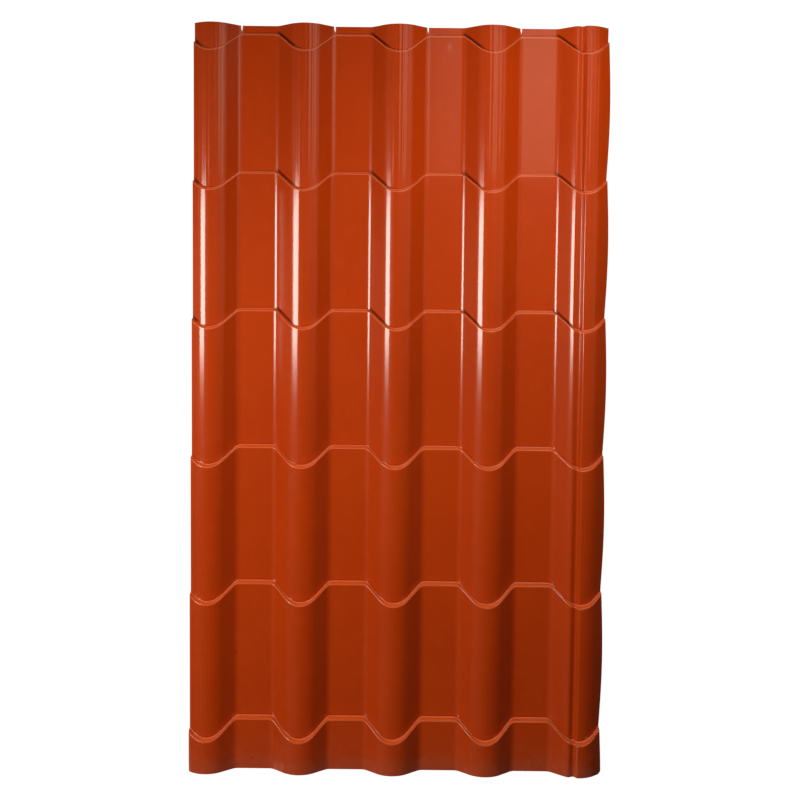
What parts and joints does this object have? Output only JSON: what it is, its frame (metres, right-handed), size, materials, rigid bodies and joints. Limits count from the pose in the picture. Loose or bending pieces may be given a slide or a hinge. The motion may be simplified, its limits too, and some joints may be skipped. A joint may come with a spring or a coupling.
{
  "type": "metal roofing sheet",
  "caption": "Painted steel roofing sheet rolled into round ribs and flat pans and stamped into stepped, scalloped tile courses.",
  "frame": {"origin": "centre of the sheet's footprint, on the plane that the feet of its risers rest on", "axes": "+X across the ribs towards the covered lap edge with the drain groove, +Y along the ribs down the roof to the eave end, +Z out of the weather face"},
  "size_m": [1.0134, 1.83, 0.0501],
  "materials": {
    "painted_steel": "glossy terracotta-red coil paint"
  },
  "bodies": {
    "root": {"roofing_sheet": "painted_steel"}
  },
  "joints": []
}
